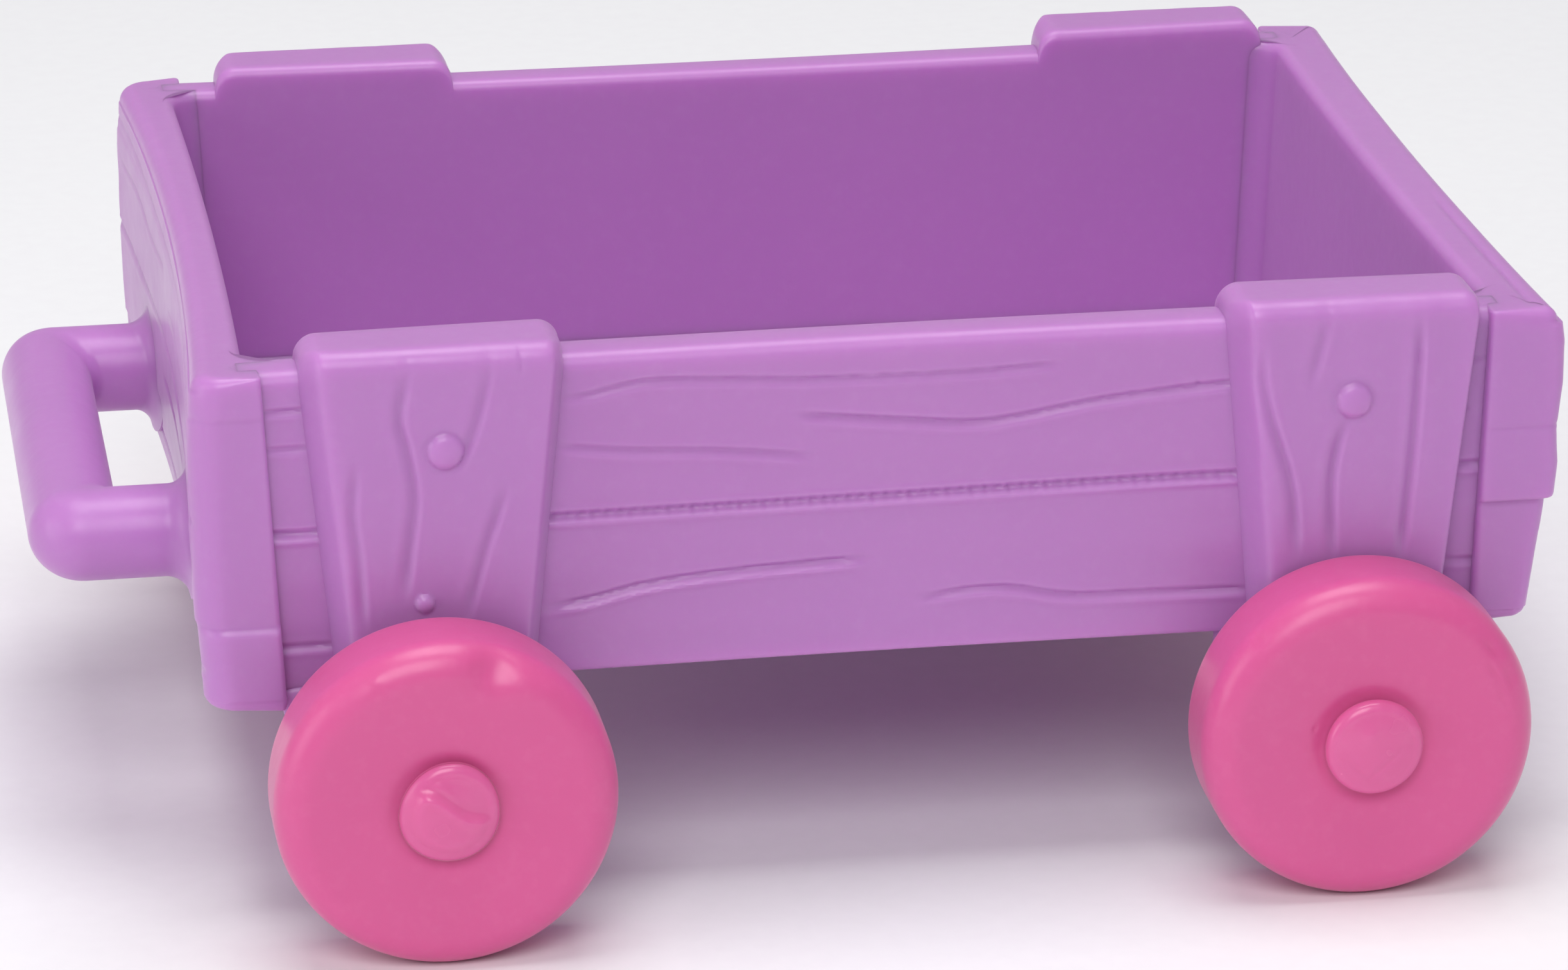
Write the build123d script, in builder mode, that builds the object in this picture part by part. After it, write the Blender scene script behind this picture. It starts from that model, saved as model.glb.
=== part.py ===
from build123d import *
import math
import os

os.makedirs("parts", exist_ok=True)

# Toy mine cart, millimetres. Origin: centre of the overall footprint, on the
# ground. +X runs away from the pull handle, +Z is up, the cart is mirrored
# about the XZ plane apart from the end float of its two axles.

# ---------------------------------------------------------------- dimensions
rim_z = 25.6            # top of the plank walls
strap_top_z = 26.7      # strap boards stand above the rim
wall_bottom_z = 10.8
floor_z = 11.6          # inside floor
floor_under_z = 10.2    # the floor plate hangs a little below the walls
draft = math.tan(math.radians(1.0))

inner_left_x = -24.55   # inside faces of the end walls, at the rim
inner_right_x = 30.4
end_draft = 0.6         # inside end walls step in by this much at the floor
inner_half_w = 19.75    # inside faces of the long walls, at the rim corners
plank_half_w = 22.1     # outside faces of the long walls, at the rim corners
long_bow = 0.55         # the long walls bow inwards at mid length
end_bow = 0.25

board_half_w = 22.55    # ends of the end boards, seen as corner posts
# end boards: (low z, high z, outer x, half width over the board ends)
left_boards = [
    (10.25, 14.1, -26.95, board_half_w + 0.15),
    (14.1, 23.7, -27.15, board_half_w - 0.05),
    (23.7, rim_z, -26.95, board_half_w - 0.05),
]
right_boards = [
    (10.95, 16.65, 33.05, board_half_w - 0.15),
    (16.65, 20.15, 33.6, board_half_w + 0.15),
    (20.15, rim_z, 33.675, board_half_w + 0.15),
]
left_board_in_x = -23.75
right_board_in_x = 30.15
corner_r = {-1: 1.2, 1: 0.6}     # upright corners of the left and right end boards

axle_x = [-16.875, 24.125]
axle_z = 7.5
axle_shift_y = [-0.4, 0.4]      # end float: each wheelset as it stands
strap_x = [-16.45, 24.2]
strap_root_top = 5.95           # half width where the strap meets the wall
strap_slope = 0.0976            # the straps narrow downwards
strap_bevel = 0.85
strap_half_w = 23.28            # outside face of the straps at the rim
strap_foot_z = 4.6              # straps run down behind the wheels
nail_z = 22.08
nail_x = [-16.2, 23.72]
nail_r = 0.8
nail_h = 0.35

lug_in_y = 20.2
lug_out_y = 21.9
lug_half_w = 6.8

rod_r = 2.1
handle_x = -31.575
handle_y = 11.15
handle_z = 14.7
root_fillet = 1.0

axle_r = 1.5
bore_r = 1.55                   # running fit of the axle in lugs and wheels
wheel_r = 7.5
wheel_in_y = 23.71
wheel_w = 4.42
shoulder_r = 1.0
back_edge_r = 0.5
dish = 0.35
head_r = 2.2
head_h = 0.83


def bowed_outline(x0, x1, half_w, bow_long, bow_end):
    """Points of a four-sided outline whose sides bow inwards at their middles."""
    xm = (x0 + x1) / 2
    ThreePointArc((x0, -half_w), (xm, -half_w + bow_long), (x1, -half_w))
    ThreePointArc((x1, -half_w), (x1 - bow_end, 0), (x1, half_w))
    ThreePointArc((x1, half_w), (xm, half_w - bow_long), (x0, half_w))
    ThreePointArc((x0, half_w), (x0 + bow_end, 0), (x0, -half_w))


def plank_y(x, z):
    """Outside face of a long wall, as a distance from the XZ plane."""
    mid = (inner_left_x + inner_right_x) / 2
    half = (right_board_in_x - left_board_in_x) / 2
    bow = long_bow * (1 - ((x - mid) / half) ** 2)
    return plank_half_w - bow - (rim_z - z) * draft


def strap_y(z):
    """Outside face of a strap, as a distance from the XZ plane."""
    return strap_half_w - (rim_z - z) * draft


# wood grain cut into the long walls, (x, z) along each groove
wall_grain = [
    [(-11.1, 23.7), (-9.8, 23.8), (-7.1, 24.25), (-3.3, 24.1), (0.4, 23.9), (7.1, 23.85), (11.4, 24.05)],
    [(0.8, 22.15), (3.8, 21.8), (7.1, 21.5), (9.3, 21.65), (13.6, 22.3), (18.4, 22.75)],
    [(-11.2, 21.5), (-8.2, 21.05), (-3.9, 20.75), (-1.2, 20.45)],
    [(-11.5, 14.0), (-7.7, 14.7), (-3.4, 15.15), (2.1, 15.35)],
    [(5.3, 13.4), (9.2, 13.55), (11.8, 13.05), (15.5, 12.98), (19.3, 12.87)],
]
plank_gap_z = 18.2
# wood grain cut into the straps, (x from the strap's middle, z)
strap_grain = [
    [
        [(-1.3, 25.6), (-1.7, 23.7), (-1.4, 22.2), (-1.1, 20.0), (-1.4, 17.2), (-1.6, 15.5)],
        [(2.3, 25.9), (1.7, 23.5), (1.1, 21.7), (0.6, 21.05)],
        [(2.9, 20.2), (1.9, 17.3), (1.1, 14.4)],
        [(-3.6, 21.8), (-3.7, 19.5), (-3.5, 15.3), (-3.4, 14.0)],
    ],
    [
        [(-4.5, 24.8), (-4.0, 21.5), (-3.0, 18.1), (-2.6, 15.4)],
        [(-1.6, 26.0), (-1.9, 24.9), (-2.3, 22.6)],
        [(-0.4, 21.0), (-0.9, 19.0), (-1.1, 17.4), (-0.9, 15.0)],
        [(2.6, 25.6), (2.55, 21.4), (2.4, 17.8), (2.15, 14.6)],
    ],
]
grain_r = 0.16
gap_r = 0.22

# ------------------------------------------------------------------ cart body
with BuildPart() as cart_body:
    # planked box: long walls and floor, drafted
    shrink = (rim_z - wall_bottom_z) * draft
    with BuildSketch(Plane.XY.offset(wall_bottom_z)):
        with BuildLine():
            bowed_outline(left_board_in_x - 0.6, right_board_in_x + 0.6, plank_half_w - shrink, long_bow, 0.01)
        make_face()
    with BuildSketch(Plane.XY.offset(rim_z)):
        with BuildLine():
            bowed_outline(left_board_in_x - 0.6, right_board_in_x + 0.6, plank_half_w, long_bow, 0.01)
        make_face()
    loft(ruled=True)

    # end boards: stacked planks whose ends form the corner posts
    for boards, inner_x, side in ((left_boards, left_board_in_x, -1), (right_boards, right_board_in_x, 1)):
        for low, high, outer_x, half in boards:
            with BuildSketch(Plane.XY.offset(low)) as board:
                with Locations(((inner_x + outer_x) / 2, 0)):
                    Rectangle(abs(outer_x - inner_x), 2 * half)
                fillet(board.vertices().sort_by(Axis.X)[::side][2:], corner_r[side])
            extrude(amount=high - low)

    # floor plate, below the foot of the long walls
    with Locations(((inner_left_x + inner_right_x) / 2, 0, floor_under_z)):
        Box(
            inner_right_x - inner_left_x,
            2 * inner_half_w - 1.5,
            floor_z - floor_under_z,
            align=(Align.CENTER, Align.CENTER, Align.MIN),
        )

    # cavity
    with BuildSketch(Plane.XY.offset(floor_z)) as cavity_floor:
        with BuildLine():
            inset = (rim_z - floor_z) * draft
            bowed_outline(
                inner_left_x + end_draft, inner_right_x - end_draft, inner_half_w - inset, long_bow, end_bow
            )
        make_face()
        fillet(cavity_floor.vertices(), 1.2)
    with BuildSketch(Plane.XY.offset(rim_z)) as cavity_mouth:
        with BuildLine():
            bowed_outline(inner_left_x, inner_right_x, inner_half_w, long_bow, end_bow)
        make_face()
        fillet(cavity_mouth.vertices(), 1.2)
    loft(ruled=True, mode=Mode.SUBTRACT)

    # straps: tapered boards with bevelled edges that carry on as axle lugs
    for xc in strap_x:
        for side in (-1, 1):
            for z_low, z_high, trim in ((strap_foot_z, 25.9, 0.0), (25.9, strap_top_z, 0.75)):
                for z, cut in ((z_low, 0.0), (z_high, trim)):
                    root = strap_root_top - (rim_z - min(z, 25.9)) * strap_slope - cut
                    outer = root - strap_bevel
                    y_in = 19.62
                    y_mid = plank_half_w - 0.25 - (rim_z - min(z, 25.9)) * draft
                    y_out = strap_y(min(z, 25.9)) - cut * 0.8
                    with BuildSketch(Plane.XY.offset(z)):
                        Polygon(
                            (xc - root, side * y_in),
                            (xc - root, side * y_mid),
                            (xc - outer, side * y_out),
                            (xc + outer, side * y_out),
                            (xc + root, side * y_mid),
                            (xc + root, side * y_in),
                            align=None,
                        )
                loft(ruled=True)

    # axle lugs under the floor, behind the straps
    for xc in axle_x:
        for side in (-1, 1):
            with BuildSketch(Plane.XZ.offset(-side * lug_in_y)):
                Polygon(
                    (xc - lug_half_w, wall_bottom_z + 0.2),
                    (xc - lug_half_w + 0.2, 9.6),
                    (xc - 3.4, strap_foot_z - 0.6),
                    (xc + 3.4, strap_foot_z - 0.6),
                    (xc + lug_half_w - 0.2, 9.6),
                    (xc + lug_half_w, wall_bottom_z + 0.2),
                    align=None,
                )
            extrude(amount=-side * (lug_out_y - lug_in_y))
    for xc in axle_x:
        with Locations((xc, 0, axle_z)):
            Cylinder(bore_r, 60, rotation=(90, 0, 0), mode=Mode.SUBTRACT)

    # domed nail heads
    sphere_r = (nail_r**2 + nail_h**2) / (2 * nail_h)
    for xc in nail_x:
        for side in (-1, 1):
            with Locations((xc, side * (strap_y(nail_z) + nail_h - sphere_r), nail_z)):
                Sphere(sphere_r)

    # pull handle: round rod, two arms and a cross bar with ball corners
    arm_end_x = -25.6
    for side in (-1, 1):
        with Locations(((arm_end_x + handle_x) / 2, side * handle_y, handle_z)):
            Cylinder(rod_r, arm_end_x - handle_x, rotation=(0, 90, 0))
        with Locations((handle_x, side * handle_y, handle_z)):
            Sphere(rod_r)
        # flared root where the arm runs into the end boards
        foot_x = left_boards[1][2] + 0.05
        centre_y = handle_y + rod_r + root_fillet
        slant = root_fillet * math.sqrt(0.5)
        with BuildSketch(Plane.XY.offset(handle_z)):
            with BuildLine():
                ThreePointArc(
                    (foot_x - root_fillet, side * (handle_y + rod_r)),
                    (foot_x - root_fillet + slant, side * (centre_y - slant)),
                    (foot_x, side * centre_y),
                )
                Polyline(
                    (foot_x, side * centre_y),
                    (foot_x + 0.8, side * centre_y),
                    (foot_x + 0.8, side * handle_y),
                    (foot_x - root_fillet, side * handle_y),
                    (foot_x - root_fillet, side * (handle_y + rod_r)),
                )
            make_face()
        revolve(axis=Axis((0, side * handle_y, handle_z), (1, 0, 0)))
    with Locations((handle_x, 0, handle_z)):
        Cylinder(rod_r, 2 * handle_y, rotation=(90, 0, 0))

    # plank gap right along each long wall, and the shorter grain lines
    for side in (-1, 1):
        runs = [(gap_r, [(x, plank_gap_z) for x in (-23.9, -12.0, 3.2, 18.0, 30.3)])]
        runs += [(grain_r, line) for line in wall_grain]
        for radius, line in runs:
            with BuildLine() as path:
                Spline(*[(x, side * plank_y(x, z), z) for x, z in line])
            with BuildSketch(Plane(origin=path.line @ 0, z_dir=path.line % 0)):
                Circle(radius)
            sweep(path=path.line, mode=Mode.SUBTRACT)
        for xc, lines in zip(strap_x, strap_grain):
            for line in lines:
                with BuildLine() as path:
                    Spline(*[(xc + x, side * strap_y(z), z) for x, z in line])
                with BuildSketch(Plane(origin=path.line @ 0, z_dir=path.line % 0)):
                    Circle(grain_r)
                sweep(path=path.line, mode=Mode.SUBTRACT)

    # joints between the end boards
    for boards in (left_boards, right_boards):
        z = boards[1][1]
        x = boards[1][2]
        with Locations((x, 0, z)):
            Box(0.5, 60, 0.3, mode=Mode.SUBTRACT)

cart_body.part.label = "cart_body"
export_step(cart_body.part, "parts/cart_body.step")

# ---------------------------------------------------------------------- wheels
wheel_names = [["wheel_front_near", "wheel_front_far"], ["wheel_rear_near", "wheel_rear_far"]]
for names, xc, shift in zip(wheel_names, axle_x, axle_shift_y):
    for name, side in zip(names, (-1, 1)):
        with BuildPart() as wheel:
            # half section drawn in radius and width, width 0 on the inner face
            with BuildSketch(Plane.XY) as section:
                with BuildLine():
                    Polyline(
                        (bore_r, 0),
                        (wheel_r, 0),
                        (wheel_r, wheel_w),
                        (5.6, wheel_w),
                        (2.6, wheel_w - dish),
                        (bore_r, wheel_w - dish),
                        close=True,
                    )
                make_face()
                corner = section.vertices().sort_by_distance((wheel_r, wheel_w))[0]
                fillet(corner, shoulder_r)
                corner = section.vertices().sort_by_distance((wheel_r, 0))[0]
                fillet(corner, back_edge_r)
            revolve(axis=Axis.Y)
        placed = wheel.part if side > 0 else wheel.part.rotate(Axis.Z, 180)
        placed = placed.moved(Location((xc, side * wheel_in_y + shift, axle_z)))
        placed.label = name
        export_step(placed, "parts/" + name + ".step")

# ----------------------------------------------------------------------- axles
for name, xc, shift in zip(("axle_front", "axle_rear"), axle_x, axle_shift_y):
    with BuildPart() as axle:
        face_y = wheel_in_y + wheel_w - dish
        with BuildSketch(Plane.XY):
            with BuildLine():
                Polyline(
                    (0, -face_y - dish - head_h),
                    (head_r * 0.45, -face_y - dish - head_h + 0.06),
                    (head_r * 0.8, -face_y - dish - head_h + 0.34),
                    (head_r, -face_y - dish - head_h + 0.8),
                    (head_r, -face_y - 0.04),
                    (axle_r, -face_y - 0.04),
                    (axle_r, face_y + 0.04),
                    (head_r, face_y + 0.04),
                    (head_r, face_y + dish + head_h - 0.8),
                    (head_r * 0.8, face_y + dish + head_h - 0.34),
                    (head_r * 0.45, face_y + dish + head_h - 0.06),
                    (0, face_y + dish + head_h),
                    close=True,
                )
            make_face()
        revolve(axis=Axis.Y)
    placed = axle.part.moved(Location((xc, shift, axle_z)))
    placed.label = name
    export_step(placed, "parts/" + name + ".step")
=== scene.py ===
import math

import bpy
import numpy as np
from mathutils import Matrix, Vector


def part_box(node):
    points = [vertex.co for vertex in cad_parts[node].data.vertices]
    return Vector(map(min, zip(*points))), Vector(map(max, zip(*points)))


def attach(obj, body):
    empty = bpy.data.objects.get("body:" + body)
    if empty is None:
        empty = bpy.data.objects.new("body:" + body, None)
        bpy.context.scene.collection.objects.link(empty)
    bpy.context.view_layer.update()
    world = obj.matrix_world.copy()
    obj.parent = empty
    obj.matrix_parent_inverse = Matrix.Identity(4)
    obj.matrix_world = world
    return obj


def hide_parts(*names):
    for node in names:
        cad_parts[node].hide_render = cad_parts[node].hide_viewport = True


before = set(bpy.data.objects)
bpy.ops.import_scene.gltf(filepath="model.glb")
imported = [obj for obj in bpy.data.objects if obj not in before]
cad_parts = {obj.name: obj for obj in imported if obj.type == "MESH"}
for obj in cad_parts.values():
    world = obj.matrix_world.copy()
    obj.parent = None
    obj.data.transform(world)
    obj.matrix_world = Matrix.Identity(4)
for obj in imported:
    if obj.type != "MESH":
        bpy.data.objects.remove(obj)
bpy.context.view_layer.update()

# ---------------------------------------------------------------------------
# Long sides of the tub. Each is one plank wall with two nailed straps, moulded
# in one with the rest of the cart in soft polyethylene. Planks, wood grain,
# strap bevels and nail heads are relief cut in the mould.
# ---------------------------------------------------------------------------
cart_lo, cart_hi = (corner * 1000 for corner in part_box("cart_body"))
strap_rise = 1.1                # the straps stand this far above the rim
wall_height = 14.8
tub_depth = 14.0
strap_top = cart_hi.z
rim_z = strap_top - strap_rise
wall_foot = rim_z - wall_height
floor_z = rim_z - tub_depth
draft = math.tan(math.radians(1.0))
mid_x = 2.925                   # middle of the tub, between the two end walls
half_length = 27.475
plank_half_w = 22.1
inner_half_w = 19.75
long_bow = 0.55                 # the long walls sag inwards at mid length
strap_half_w = 23.28
strap_x = (-16.45, 24.2)        # middle of the grain and of the foot
strap_edges = ((-22.4, -10.8), (18.38, 29.78))      # at the rim
strap_root = 5.95               # half width at the rim that the feet of the straps taper from
strap_taper = 0.0976            # each strap edge comes in this much per mm down
strap_bevels = ((0.85, 0.6), (0.85, 0.35))          # left and right bevel of each strap
nail_z = rim_z - 3.52
nail_x = (-16.2, 23.92)
nail_r, nail_h = 0.78, 0.30
rim_round = 0.7                 # outer edge of the rim
inner_round = 0.5               # its inner edge


def plank_y(x, z):
    """Outside of a long wall: half width less a parabola of sag and one degree of draft."""
    sag = long_bow * (1 - ((x - mid_x) / half_length) ** 2)
    return plank_half_w - sag - (rim_z - z) * draft


def inner_y(x, z):
    """Inside of a long wall, parallel in plan to the outside."""
    sag = long_bow * (1 - ((x - mid_x) / half_length) ** 2)
    return inner_half_w - sag - (rim_z - z) * draft


def smooth(value):
    """Eases from 0 to 1 as value goes from 0 to 1: three squares less two cubes."""
    value = np.clip(value, 0, 1)
    return value * value * (3 - 2 * value)


def flowing(points, count=180):
    """Catmull-Rom curve: each span is the cubic whose end slopes are half the chord between neighbours."""
    p = np.array(points, float)
    p = np.vstack([2 * p[0] - p[1], p, 2 * p[-1] - p[-2]])
    t = np.linspace(0, len(points) - 1.000001, count)
    k = t.astype(int)
    f = (t - k)[:, None]
    a, b, c, d = p[k], p[k + 1], p[k + 2], p[k + 3]
    return b + 0.5 * f * (c - a + f * (2 * a - 5 * b + 4 * c - d + f * (3 * (b - c) + d - a)))


def cut_line(u, v, line, depth, steep, easy, fade=1.2, lip=0.3):
    """Grain line: minus depth times a bell of the distance to the line, narrow on its steep side
    and wide on its easy side, dying out over the last fade mm, with a faint raised lip beyond."""
    reach = 1.0
    relief = np.zeros(np.shape(u))
    near = (u > line[:, 0].min() - reach) & (u < line[:, 0].max() + reach)
    near &= (v > line[:, 1].min() - reach) & (v < line[:, 1].max() + reach)
    du = u[near][:, None] - line[:, 0]
    dv = v[near][:, None] - line[:, 1]
    gap = du * du + dv * dv
    k = gap.argmin(axis=1)
    rows = np.arange(len(k))
    gap = np.sqrt(gap[rows, k])
    tangent = np.gradient(line, axis=0)[k]
    left = tangent[:, 0] * dv[rows, k] - tangent[:, 1] * du[rows, k] > 0
    width = np.where(left, steep, easy)
    along = np.concatenate([[0], np.cumsum(np.hypot(*np.diff(line, axis=0).T))])
    ends = smooth(np.minimum(along[k], along[-1] - along[k]) / fade + 0.15)
    raised = np.where(left, min(lip, 0.2), lip) * np.exp(-(((gap - 2.0 * width) / (0.8 * width)) ** 2))
    bell = raised - np.exp(-((gap / width) ** 2))
    relief[near] = depth * ends * bell
    return relief


def ripple(u, v, seed, long_wave, short_wave, size):
    """Slow unevenness of a hand-cut pattern: eight sine waves of seeded direction and phase, summed."""
    rng = np.random.default_rng(seed)
    total = 0
    for phase_u, phase_v, turn, weight in rng.random((8, 4)):
        wave = 2 * np.pi * (u / long_wave * (0.4 + phase_u) + v / short_wave * (0.4 + turn) + phase_v)
        total = total + np.sin(wave) * (0.5 + weight)
    return size * total / 4


def linear(code):
    """sRGB hex colour as linear RGBA."""
    c = np.array([int(code[i:i + 2], 16) for i in (1, 3, 5)]) / 255
    c = np.where(c <= 0.04045, c / 12.92, ((c + 0.055) / 1.055) ** 2.4)
    return (*c.tolist(), 1.0)


def add(tree, kind, inputs=None, **settings):
    """One shader node. An input is a value, or another node's output to link from."""
    made = tree.nodes.new("ShaderNode" + kind)
    for name, value in settings.items():
        setattr(made, name, value)
    for key, value in (inputs or {}).items():
        if isinstance(value, bpy.types.NodeSocket):
            tree.links.new(value, made.inputs[key])
        else:
            made.inputs[key].default_value = value
    return made


def moulded_plastic(name, base, deep, pale, roughness, glow, glow_mm):
    """Injection-moulded plastic. A slow mottle between two shades, the faint orange peel of a
    spark-eroded mould, patches that are a little duller where fingers have rubbed, and a
    shallow glow of light under the skin."""
    material = bpy.data.materials.new(name)
    material.use_nodes = True
    tree = material.node_tree
    tree.nodes.clear()
    place = add(tree, "TexCoord").outputs["Object"]
    # size of one patch of each pattern in mm, which divides a metre to give the scale
    cloud_mm, speck_mm, rubbed_mm, sink_mm, peel_mm = 14.3, 0.667, 3.85, 3.125, 0.385
    clouds = add(tree, "TexNoise", {
        "Vector": place, "Scale": 1000 / cloud_mm, "Detail": 2.0, "Roughness": 0.55})
    specks = add(tree, "TexNoise", {
        "Vector": place, "Scale": 1000 / speck_mm, "Detail": 2.0, "Roughness": 0.6})
    shade = add(tree, "Mix", {0: clouds.outputs["Fac"], 6: linear(deep), 7: linear(base)}, data_type="RGBA")
    fleck = add(tree, "MapRange", {0: specks.outputs["Fac"], 1: 0.5, 2: 0.9, 3: 0.0, 4: 0.10})
    skin = add(tree, "Mix", {0: fleck.outputs[0], 6: shade.outputs[2], 7: linear(pale)}, data_type="RGBA")
    rubbed = add(tree, "TexNoise", {
        "Vector": place, "Scale": 1000 / rubbed_mm, "Detail": 3.0, "Roughness": 0.65})
    dull = add(tree, "MapRange", {
        0: rubbed.outputs["Fac"], 1: 0.3, 2: 0.75, 3: roughness - 0.05, 4: roughness + 0.08})
    peel = add(tree, "TexNoise", {
        "Vector": place, "Scale": 1000 / peel_mm, "Detail": 2.0, "Roughness": 0.5})
    sink = add(tree, "TexNoise", {
        "Vector": place, "Scale": 1000 / sink_mm, "Detail": 2.0, "Roughness": 0.5})
    fine = add(tree, "Bump", {"Height": peel.outputs["Fac"], "Strength": 0.10, "Distance": 0.00006})
    broad = add(tree, "Bump", {"Height": sink.outputs["Fac"], "Strength": 0.25, "Distance": 0.00012,
                               "Normal": fine.outputs[0]})
    surface = add(tree, "BsdfPrincipled", {
        "Base Color": skin.outputs[2], "Roughness": dull.outputs[0], "Normal": broad.outputs[0],
        "IOR": 1.5, "Subsurface Weight": glow, "Subsurface Radius": (1.0, 0.55, 0.8),
        "Subsurface Scale": glow_mm / 1000, "Sheen Weight": 0.12, "Sheen Roughness": 0.35})
    add(tree, "OutputMaterial", {"Surface": surface.outputs[0]})
    return material


# Low-density polyethylene, pigmented lilac: waxy, half matt, light creeps a little way in.
lilac = moulded_plastic("moulded_polyethylene_lilac", "#c084c7", "#bc7fc4", "#d3a8da", 0.35, 0.6, 2.0)


def closed_skin(name, grid, material, body, wrap=False):
    """Mesh over a grid of points in mm. Each row of the grid is a closed loop. The first and last
    rows are closed with a face of their own, or joined to each other when wrap is true."""
    rows, cols = grid.shape[:2]
    verts = grid.reshape(-1, 3) / 1000
    index = np.arange(rows * cols).reshape(rows, cols)
    upper = np.roll(index, -1, axis=0)
    if not wrap:
        index, upper = index[:-1], upper[:-1]
    quads = np.stack([index, np.roll(index, -1, 1), np.roll(upper, -1, 1), upper], -1).reshape(-1, 4)
    a, b, c, d = (verts[quads[:, k]] for k in range(4))
    volume = (a * np.cross(b, c) + a * np.cross(c, d)).sum()
    caps = [] if wrap else [np.arange(cols)[::-1], np.arange(cols) + (rows - 1) * cols]
    for cap in caps:
        ring = verts[cap]
        centre = ring.mean(axis=0)
        volume += (centre * np.cross(ring, np.roll(ring, -1, 0))).sum()
    faces = [q.tolist() for q in quads] + [cap.tolist() for cap in caps]
    if volume < 0:
        faces = [face[::-1] for face in faces]
    mesh = bpy.data.meshes.new(name)
    mesh.from_pydata(verts.tolist(), [], faces)
    mesh.validate()
    mesh.polygons.foreach_set("use_smooth", np.ones(len(mesh.polygons), bool))
    mesh.set_sharp_from_angle(angle=math.radians(50))
    mesh.materials.append(material)
    piece = bpy.data.objects.new(name, mesh)
    bpy.context.collection.objects.link(piece)
    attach(piece, body)
    return piece


# Grain of the planks as (x, z) along each line, with its depth, steep and easy widths, and lip.
plank_grain = [
    ([(-11.1, 23.7), (-9.8, 23.8), (-7.1, 24.25), (-3.3, 24.1), (0.4, 23.9), (7.1, 23.85), (11.4, 24.05)],
     0.13, 0.10, 0.21, 0.3),
    ([(-0.8, 22.3), (3.8, 21.8), (7.1, 21.5), (9.3, 21.65), (13.6, 22.3), (20.4, 22.85)],
     0.17, 0.12, 0.21, 0.3),
    ([(-11.4, 21.5), (-8.2, 21.1), (-3.9, 20.8), (0.4, 20.3)], 0.13, 0.12, 0.20, 0.3),
    ([(-11.7, 13.95), (-9.6, 14.3), (-7.2, 14.8), (-3.4, 15.15), (2.7, 15.4)], 0.17, 0.11, 0.20, 0.9),
    ([(4.7, 13.3), (7.2, 13.6), (9.2, 13.55), (11.8, 13.05), (15.5, 12.98), (20.4, 12.87)],
     0.15, 0.11, 0.20, 0.5),
    ([(-24.5, 18.25), (-12.0, 18.2), (3.2, 18.25), (18.0, 18.4), (30.6, 18.35)], 0.22, 0.15, 0.20, 0.55),
    ([(-24.5, 23.85), (-23.0, 23.9), (-20.5, 23.9)], 0.14, 0.12, 0.16, 0.3),
    ([(-24.5, 22.2), (-22.8, 22.15), (-20.5, 22.2)], 0.12, 0.12, 0.16, 0.3),
    ([(-24.5, 12.9), (-22.5, 12.95), (-20.0, 12.9)], 0.15, 0.12, 0.18, 0.4),
    ([(28.3, 23.3), (29.6, 23.3), (30.6, 23.35)], 0.12, 0.10, 0.16, 0.3),
    ([(28.0, 13.75), (29.3, 13.8), (30.6, 13.75)], 0.14, 0.10, 0.18, 0.3),
]
# Grain of the straps as (x from the strap's middle, z).
strap_grain = [
    [
        ([(-1.3, 25.9), (-1.7, 23.7), (-1.4, 22.2), (-1.1, 20.0), (-1.4, 17.2), (-1.6, 15.3)],
         0.20, 0.13, 0.24),
        ([(2.3, 26.0), (1.7, 23.5), (1.1, 21.9), (0.6, 21.2)], 0.16, 0.12, 0.24),
        ([(2.9, 20.3), (2.4, 18.8), (1.9, 17.3), (1.1, 14.2)], 0.18, 0.12, 0.24),
        ([(-3.6, 21.8), (-3.8, 19.5), (-3.6, 17.3), (-3.4, 14.0)], 0.16, 0.13, 0.22),
    ],
    [
        ([(-4.5, 24.8), (-4.4, 23.2), (-4.0, 21.5), (-3.0, 18.3), (-2.6, 15.0)], 0.22, 0.12, 0.26),
        ([(-1.5, 26.1), (-1.9, 24.4), (-2.3, 22.6)], 0.14, 0.14, 0.24),
        ([(-0.35, 21.3), (-0.8, 20.5), (-1.1, 19.0), (-1.15, 17.4), (-0.95, 14.6)], 0.22, 0.12, 0.24),
        ([(2.6, 25.8), (2.6, 23.5), (2.5, 20.4), (2.35, 17.8), (2.1, 14.4)], 0.22, 0.12, 0.22),
    ],
]


def strap_inside(rim_x, z):
    """How far a point is inside the nearest strap's edge, and how wide that edge's bevel is.
    Columns of points lean with the tapered edges, so an edge always runs down one column."""
    inside = np.full(np.broadcast(rim_x, z).shape, -1.0)
    bevel = np.ones_like(inside)
    for (low, high), (left, right) in zip(strap_edges, strap_bevels):
        middle, root = (low + high) / 2, (high - low) / 2
        half = root - (rim_z - np.minimum(z, rim_z)) * strap_taper
        depth = half * (1 - np.abs((rim_x - middle) / root))
        bevel = np.where(depth > inside, np.where(rim_x < middle, left, right), bevel)
        inside = np.maximum(inside, depth)
    return inside, bevel


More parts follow.
